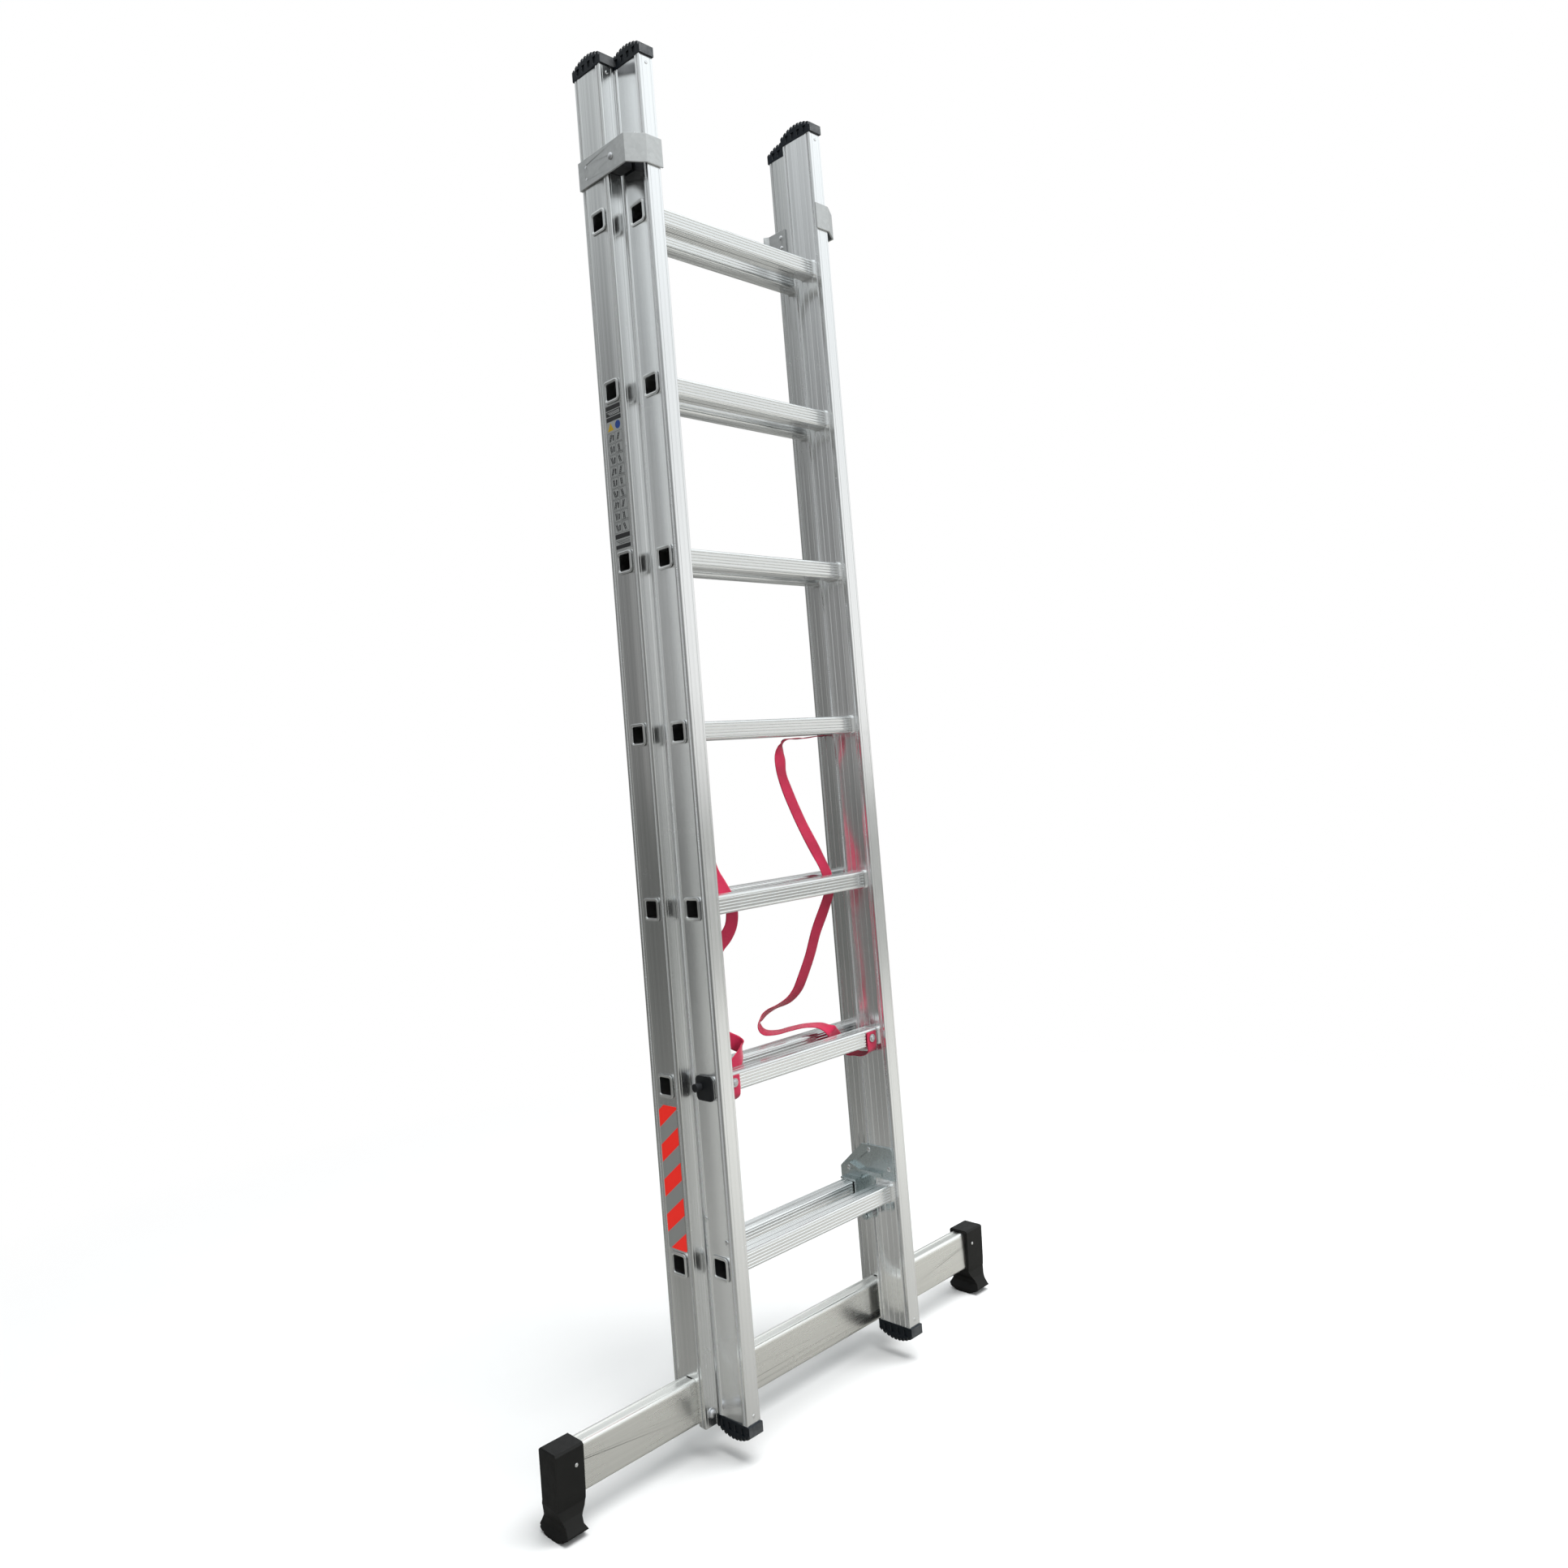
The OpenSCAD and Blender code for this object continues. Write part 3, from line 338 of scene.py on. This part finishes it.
# Places [x, y, z] on the drawing in mm, then the direction of the width.
FLY_END = [
    (166, -49.3, 289, 1, 0, 0), (166, -49.3, 278, 1, 0, 0), (166, -49.3, 267, 1, 0, 0),
    (167, -47, 256, 1, 0.1, 0), (167, -38, 250, 0.97, 0.2, 0.05), (164, -27, 248, 0.93, 0.3, 0.1),
    (160, -16, 249, 0.9, 0.4, 0.1), (154, -7, 252, 0.9, 0.35, 0.25), (147, -2, 259, 0.88, 0.2, 0.42),
    (139, 0, 269, 0.86, 0, 0.5)]
RIGHT_MIDDLE = [
    (130, 0, 279, 0.85, 0, 0.5), (120, -2, 289, 0.9, 0, 0.4), (111, -4, 297, 0.97, 0, 0.2),
    (106, 1, 303, 1, 0, 0.09), (102, 11, 307, 0.98, 0.1, 0.1), (93, 22, 309, 0.9, 0.4, 0.1),
    (80, 35, 309, 0.75, 0.65, 0.1), (63, 50, 306, 0.7, 0.7, 0.1), (46, 62, 303, 0.7, 0.7, 0.1),
    (28, 70, 305, 0.7, 0.7, 0.15), (16, 74, 312, 0.72, 0.6, 0.3), (12, 75, 323, 0.75, 0.55, 0.2),
    (20, 74, 333, 0.75, 0.5, -0.3), (31, 70, 341, 0.7, 0.6, -0.45), (47, 62, 348, 0.6, 0.65, -0.4),
    (67, 51, 357, 0.75, 0.4, -0.5), (79, 41, 372, 0.95, 0.1, -0.3), (85, 32, 392, 1, 0, -0.2),
    (96, 18, 433, 1, 0, -0.15), (105, 7, 474, 1, 0, -0.15), (126, 3, 511, 1, 0, -0.15),
    (138, -1, 538, 1, 0, -0.1), (140, -1, 558, 1, 0, -0.1), (136, 1, 580, 1, 0, -0.1),
    (125, 8, 612, 1, 0, -0.1), (97, 8, 659, 1, 0.05, -0.1), (75, 8, 702, 1, 0.05, -0.05),
    (58, 9, 744, 1, 0.05, -0.05), (60, 17, 768, 1, 0.1, 0), (72, 28, 790, 1, 0.1, 0),
    (80, 32, 804, 0.9, 0.4, -0.2), (86, 32, 814, 0.5, 0.8, -0.3), (97, 32, 820, 0.1, 1, 0),
    (114, 32, 821, 0, 1, 0), (134, 32, 820, 0, 1, 0)]
LEFT_MIDDLE = [
    (129, -1, 280, 0.7, 0, 0.7), (118, -1, 290, 0.4, 0, 0.9), (106, 1, 298, 0.15, 0, 1),
    (96, 6, 304, 0, 0, 1), (89, 13, 310, 0, 0, 1), (93, 21, 317, 0, 0, 1),
    (105, 26, 325, -0.2, 0, 1), (120, 29, 335, -0.4, 0, 0.9), (136, 30, 348, -0.6, -0.1, 0.8),
    (149, 29, 365, -0.75, -0.2, 0.6), (157, 26, 387, -0.8, -0.3, 0.35), (159, 22, 412, -0.8, -0.5, 0.1),
    (153, 12, 440, -0.9, -0.3, -0.1), (141, 8, 467, -0.9, -0.1, -0.3), (125, 6, 487, -0.85, -0.1, -0.4),
    (110, 5, 499, -0.85, -0.1, -0.4), (100, 3, 514, -0.95, -0.1, -0.2), (97, 1, 532, -1, -0.1, 0),
    (100, -1, 550, -1, 0, 0.1), (108, -1, 567, -1, 0, 0.2), (116, 4, 585, -1, -0.1, 0.2),
    (126, 9, 608, -1, -0.1, 0.2), (136, 9, 645, -1, -0.05, 0.1), (142, 8, 690, -1, -0.05, 0),
    (144, 8, 735, -1, -0.05, 0), (142, 16, 765, -1, -0.1, 0), (140, 28, 785, -0.95, -0.3, 0),
    (139, 32, 800, -0.8, -0.6, 0), (140, 32, 810, -0.5, -0.8, 0.2), (146, 32, 818, -0.1, -1, 0)]
REAR_END = [
    (160, 32, 822, 0, 1, 0), (180, 32, 823.2, 0, 1, 0), (192, 32, 823.2, 0, 1, 0),
    (204, 32, 823.2, 0, 1, 0)]
STRAP_STEPS = 8
STRAP_COLUMNS = 12


def smooth_route(points, steps):
    """The curve through the points that part of the CAD uses, with steps stretches between neighbours."""
    last = len(points) - 1
    route = []
    for i in range(last):
        a, b, c, d = (points[k] for k in (max(i - 1, 0), i, i + 1, min(i + 2, last)))
        for step in range(steps):
            t = step / steps
            route.append([0.5 * (2 * q + (r - p) * t + (2 * p - 5 * q + 4 * r - s) * t * t
                                 + (3 * q - p - 3 * r + s) * t ** 3) for p, q, r, s in zip(a, b, c, d)])
    return route + [list(points[last])]


def cross_section():
    """Points across and through the webbing: flat faces, with thicker rolled edges."""
    half_w, half_t = STRAP_WIDTH / 2, STRAP_THICKNESS / 2
    top = []
    for i in range(STRAP_COLUMNS + 1):
        across = -1 + 2 * i / STRAP_COLUMNS
        edge = max(0.0, (abs(across) - 0.8) / 0.2)
        swell = 0.14 * math.sin(math.pi * min(edge, 0.5))
        top.append((across * half_w, half_t * (0.86 + swell - 0.45 * edge ** 3)))
    return top + [(v, -h) for v, h in reversed(top)]


def build_strap(name, side, points):
    route = smooth_route(points, STRAP_STEPS)
    centres = [Vector((side * p[0], p[1] + DRAWING_Y, p[2] + DRAWING_Z)) * MM for p in route]
    section = cross_section()
    count, last = len(section), len(centres) - 1
    verts, uv, length = [], [], 0.0
    for i, centre in enumerate(centres):
        if i:
            length += (centre - centres[i - 1]).length
        along = (centres[min(i + 1, last)] - centres[max(i - 1, 0)]).normalized()
        width = Vector((side * route[i][3], route[i][4], route[i][5]))
        across = (width - along * width.dot(along)).normalized()
        up = along.cross(across)
        verts += [centre + across * v + up * h for v, h in section]
        uv += [(length, v) for v, _ in section]
    faces = [tuple(reversed(range(count))), tuple(range(last * count, (last + 1) * count))]
    for i in range(last):
        for j in range(count):
            a, b = i * count + j, i * count + (j + 1) % count
            faces.append((a, b, b + count, a + count))
    strap = mesh_object(name, verts, faces, MATERIALS["webbing"], uv, True)
    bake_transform(strap)
    return strap, length


strap_left, left_length = build_strap("webbing_left", -1, FLY_END + LEFT_MIDDLE + [
    (*p[:3], *(-w for w in p[3:])) for p in REAR_END])
strap_right, right_length = build_strap("webbing_right", 1, FLY_END + RIGHT_MIDDLE + REAR_END)
for strap, length, node in ((strap_left, left_length, "strap_left"),
                            (strap_right, right_length, "strap_right")):
    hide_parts(node)

# ---- Rounded beads on the swaged rims of the rung ends ----

BEAD_OUT, BEAD_IN, BEAD_RISE, BEAD_CORNER = 18.6, 14.4, 1.9, 6.4


def bead_path(half, corner, turns=6):
    """Points round a square with rounded corners, in mm."""
    c = half - corner
    centres = ((c, c), (-c, c), (-c, -c), (c, -c))
    return [(cy + corner * math.cos(a), cz + corner * math.sin(a)) for q, (cy, cz) in enumerate(centres)
            for a in (math.radians(90 * q + 90 * i / turns) for i in range(turns + 1))]


def add_bead(verts, faces, side, x, y, z):
    """A closed ring, x mm out from the middle, bulging outwards round the rung's end at y and z mm."""
    start, sides = len(verts), 10
    rings = []
    for i in range(sides):
        a = 2 * math.pi * i / sides
        share = (1 - math.cos(a)) / 2
        half = BEAD_OUT + (BEAD_IN - BEAD_OUT) * share
        path = bead_path(half, BEAD_CORNER - (BEAD_OUT - half) * 0.75)
        lift = 0.3 + (BEAD_RISE - 0.3) * max(math.sin(a), 0) - 0.2 * max(-math.sin(a), 0)
        rings.append([(side * (x + lift) * MM, (y + py) * MM, (z + pz) * MM) for py, pz in path])
    count = len(rings[0])
    for ring in rings:
        verts.extend(ring)
    for i in range(sides):
        for j in range(count):
            a, b = start + i * count + j, start + i * count + (j + 1) % count
            c, d = start + (i + 1) % sides * count + (j + 1) % count, start + (i + 1) % sides * count + j
            faces.append((a, b, c, d) if side > 0 else (d, c, b, a))


def build_beads(name, body, first_rung, skip):
    verts, faces = [], []
    for k in range(1, 8):
        if k in skip:
            continue
        low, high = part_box(first_rung + str(k))
        y, z = (low.y + high.y) / 2 / MM, (low.z + high.z) / 2 / MM
        for side in (-1, 1):
            add_bead(verts, faces, side, high.x / MM - 1.5, y, z)
    piece = mesh_object(name, verts, faces, MATERIALS["polished_rim"], smooth=True)
    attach(piece, body)


build_beads("rim_beads_base", "base_section", "rear_rung_", ())
build_beads("rim_beads_fly", "fly_section", "fly_rung_", (2,))

# ---- Instruction label: a silver film with plain blocks, cells and marks, and no lettering ----

LABEL_LOW, LABEL_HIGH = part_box("instruction_label")
INK = {
    "black": printed("ink_black", (0.02, 0.02, 0.022)),
    "white": printed("ink_white", (0.55, 0.56, 0.56)),
    "grey": printed("ink_grey", (0.13, 0.135, 0.135)),
    "yellow": printed("ink_yellow", (0.62, 0.40, 0.015)),
    "blue": printed("ink_blue", (0.012, 0.06, 0.30)),
}
ink_parts = {name: ([], []) for name in INK}


def print_shape(ink, outline, layer=1):
    """A thin closed prism on the label. Outline points run from its front edge and its top, in mm."""
    points, faces = ink_parts[ink]
    start, count = len(points), len(outline)
    for depth in (-0.05, 0.05 * layer):
        points += [(LABEL_LOW.x - depth * MM, LABEL_LOW.y + v * MM, LABEL_HIGH.z - w * MM)
                   for v, w in outline]
    faces.append(tuple(range(start, start + count)))
    faces.append(tuple(reversed(range(start + count, start + 2 * count))))
    for i in range(count):
        a, b = start + i, start + (i + 1) % count
        faces.append((b, a, a + count, b + count))


def print_bar(ink, v0, v1, w0, w1, layer=1):
    print_shape(ink, [(v0, w0), (v1, w0), (v1, w1), (v0, w1)], layer)


def print_line(ink, a, b, width, layer=2):
    """A straight stroke from a to b."""
    (v0, w0), (v1, w1) = a, b
    length = math.hypot(v1 - v0, w1 - w0)
    dv, dw = (w1 - w0) / length * width / 2, -(v1 - v0) / length * width / 2
    print_shape(ink, [(v0 + dv, w0 + dw), (v1 + dv, w1 + dw), (v1 - dv, w1 - dw), (v0 - dv, w0 - dw)], layer)


def print_disc(ink, v, w, r, layer=1, sides=28):
    print_shape(ink, [(v + r * math.cos(2 * math.pi * i / sides), w + r * math.sin(2 * math.pi * i / sides))
                      for i in range(sides)], layer)


def print_cell(v, w, width, height, kind):
    """A framed cell with a plain ladder-like mark."""
    for v0, v1, w0, w1 in ((0, width, 0, 0.6), (0, width, height - 0.6, height),
                           (0, 0.6, 0.6, height - 0.6), (width - 0.6, width, 0.6, height - 0.6)):
        print_bar("grey", v + v0, v + v1, w + w0, w + w1, 2)
    lean = (-2.2, 2.2, 0.8)[kind % 3]
    low, high = (v + width / 2 - lean, w + height - 2.6), (v + width / 2 + lean, w + 2.6)
    print_line("black", low, high, 1.5)
    print_line("black", (low[0] + 3.4, low[1]), (high[0] + 3.4, high[1]), 1.3, 3)
    for t in (0.25, 0.5, 0.75):
        spot = (low[0] + (high[0] - low[0]) * t, low[1] + (high[1] - low[1]) * t)
        print_line("black", spot, (spot[0] + 3.4, spot[1]), 0.9, 4)
    if kind % 2:
        print_disc("black", v + 4.2, w + 6.0, 1.9, 2, 14)
        print_line("black", (v + 4.2, w + 6.6), (v + 4.6, w + 13.5), 2.6, 3)
    if kind % 4 == 2:
        print_line("black", (v + 2, w + height - 2), (v + width - 2, w + height - 2), 0.6, 3)


def build_label():
    wide = (LABEL_HIGH.y - LABEL_LOW.y) / MM
    tall = (LABEL_HIGH.z - LABEL_LOW.z) / MM
    for w0, w1 in ((1.5, 8.5), (10, 18.5), (20, 27)):
        print_bar("black", 1.5, wide - 1.5, w0, w1)
    for w in (12.4, 14.3, 16.2):
        print_bar("white", 4, wide - 4 - (w - 12) * 1.6, w - 0.4, w + 0.4, 2)
    print_disc("blue", wide * 0.27, 35.5, 6.8)
    print_shape("yellow", [(wide * 0.73, 28.8), (wide * 0.73 + 8, 42.2), (wide * 0.73 - 8, 42.2)])
    top, rows, gap = 45.5, 9, 1.2
    step = (tall * 0.89 - top) / rows
    cell = (wide - 3 - gap) / 2
    for row in range(rows):
        for column in range(2):
            print_cell(1.5 + column * (cell + gap), top + row * step, cell, step - gap, row * 2 + column * 3)
    print_bar("black", 1.5, wide - 1.5, tall * 0.893, tall * 0.925)
    for share in (0.937, 0.947, 0.957):
        print_bar("black", 2.5, wide - 3 - 40 * (share - 0.937) * 8, tall * share, tall * share + 0.8)
    print_bar("black", 1.5, wide - 1.5, tall * 0.968, tall - 1.2)
    for ink, (points, faces) in ink_parts.items():
        piece = mesh_object("label_" + ink, points, faces, INK[ink])
        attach(piece, "base_section")


build_label()

# ---- Camera, lights and floor ----


CAMERA_PLACE = (-1.4351, -1.5043, 1.0534)
CAMERA_TURN, CAMERA_TILT, CAMERA_ROLL = -45, 92.075, -4.705
CAMERA_LENS, CAMERA_SHIFT = 27.54, -0.0342


def set_up_camera():
    data = bpy.data.cameras.new("camera")
    data.lens = CAMERA_LENS
    data.sensor_width = 36
    data.shift_y = CAMERA_SHIFT
    data.clip_end = 200
    camera = bpy.data.objects.new("camera", data)
    turn = Matrix.Rotation(math.radians(CAMERA_TURN), 4, "Z")
    tilt = Matrix.Rotation(math.radians(CAMERA_TILT), 4, "X")
    roll = Matrix.Rotation(math.radians(CAMERA_ROLL), 4, "Z")
    camera.matrix_world = Matrix.Translation(CAMERA_PLACE) @ turn @ tilt @ roll
    bpy.context.scene.collection.objects.link(camera)
    bpy.context.scene.camera = camera


def area_light(name, place, aim, size, power):
    data = bpy.data.lights.new(name, "AREA")
    data.shape = "RECTANGLE"
    data.size, data.size_y = size
    data.energy = power
    light = bpy.data.objects.new(name, data)
    light.location = place
    light.rotation_euler = (Vector(aim) - Vector(place)).to_track_quat("-Z", "Y").to_euler()
    light.visible_glossy = False
    bpy.context.scene.collection.objects.link(light)


WORLD_BACK, WORLD_FRONT, WORLD_UP = 0.24, 0.80, 0.95


def set_up_world():
    """A pale studio: brighter overhead and to the front right, greyer to the back left."""
    world = bpy.data.worlds.new("studio")
    bpy.context.scene.world = world
    world.use_nodes = True
    tree = world.node_tree
    tree.nodes.clear()

    def add(kind, inputs=None, **properties):
        node = tree.nodes.new("ShaderNode" + kind)
        for key, value in properties.items():
            setattr(node, key, value)
        for key, value in (inputs or {}).items():
            if isinstance(value, bpy.types.NodeSocket):
                tree.links.new(value, node.inputs[key])
            else:
                node.inputs[key].default_value = value
        return node

    coords = add("TexCoord").outputs["Generated"]
    side = add("VectorMath", {0: coords, 1: (0.7, -0.7, 0)}, operation="DOT_PRODUCT").outputs["Value"]
    height = add("SeparateXYZ", {0: coords}).outputs[2]
    side_tone = add("MapRange", {0: side, 1: -1.0, 2: 1.0, 3: WORLD_BACK, 4: WORLD_FRONT}).outputs[0]
    up_tone = add("MapRange", {0: height, 1: 0.3, 2: 0.95, 3: 0.0, 4: WORLD_UP}).outputs[0]
    tall = add("VectorMath", {0: coords, 1: (7, 7, 1.2)}, operation="MULTIPLY").outputs[0]
    panels = add("TexNoise", {"Vector": tall, "Scale": 1.0, "Detail": 1.5}).outputs["Fac"]
    patchy = add("MapRange", {0: panels, 1: 0.34, 2: 0.66, 3: 0.68, 4: 1.32}).outputs[0]
    base = add("Math", {0: side_tone, 1: patchy}, operation="MULTIPLY").outputs[0]
    total = add("Math", {0: base, 1: up_tone}, operation="ADD").outputs[0]
    cool = add("MapRange", {0: height, 1: -0.1, 2: 0.45, 3: 0.0, 4: 1.0}).outputs[0]
    tint = add("Mix", data_type="RGBA")
    for key, value in ((6, (1.0, 0.985, 0.955, 1)), (7, (0.95, 0.99, 1.0, 1))):
        tint.inputs[key].default_value = value
    tree.links.new(cool, tint.inputs[0])
    room = add("Background", {"Color": tint.outputs[2], "Strength": total})
    seen = add("Background", {"Color": (1, 1, 1, 1), "Strength": 1.0})
    path = add("LightPath").outputs["Is Camera Ray"]
    mixed = add("MixShader", {0: path, 1: room.outputs[0], 2: seen.outputs[0]})
    add("OutputWorld", {"Surface": mixed.outputs[0]})


FLOOR_TONE = 0.57
FLOOR_HALF = 60
FADE_FROM, FADE_TO = 1.1, 2.4


def set_up_floor():
    """A white floor that fades into the backdrop, and reads as a greyer one in the metal's reflections."""
    s = Shader("pale_floor", Roughness=0.9)
    where = s.node("TexCoord", "Object")
    mottle = s.noise(s.place((6, 6, 6)), 2)
    s.finish(Base_Color=s.mix(s.span(mottle, 0.3, 0.7), (FLOOR_TONE,) * 3, (FLOOR_TONE + 0.01,) * 3))
    white = s.node("Emission", 0, {"Color": (1, 1, 1, 1), "Strength": 1.0})
    far = s.span(s.node("VectorMath", 1, {0: where}, operation="LENGTH"), FADE_FROM, FADE_TO)
    shown = s.node("MixShader", 0, {0: far, 1: s.surface.outputs[0], 2: white})
    # Painted light: in reflections the floor is painted lighter toward the front right, where the lamps
    # stand, and darker toward the back left.
    side = s.node("VectorMath", 1, {0: where, 1: (0.7, -0.7, 0)}, operation="DOT_PRODUCT")
    tone = s.mix(s.span(side, -1.5, 1.5), (0.125, 0.123, 0.117), (0.32, 0.315, 0.298))
    grey = s.node("BsdfDiffuse", 0, {"Color": tone})
    seen = s.node("LightPath", "Is Camera Ray")
    blend = s.node("MixShader", 0, {0: seen, 1: grey, 2: shown})
    out = s.tree.nodes["Material Output"]
    s.put(out, {"Surface": blend})
    corners = [(x * FLOOR_HALF, y * FLOOR_HALF, 0) for x, y in ((-1, -1), (1, -1), (1, 1), (-1, 1))]
    floor = mesh_object("studio_floor", corners, [(0, 1, 2, 3)], s.material)


set_up_camera()
set_up_world()
set_up_floor()
area_light("overhead", (0.3, -1.2, 4.2), (0, 0, 0.8), (3.0, 3.0), 260)
area_light("front_right", (2.6, -3.2, 2.4), (0, 0, 1.2), (2.0, 2.4), 70)
bpy.context.scene.view_settings.view_transform = "Standard"
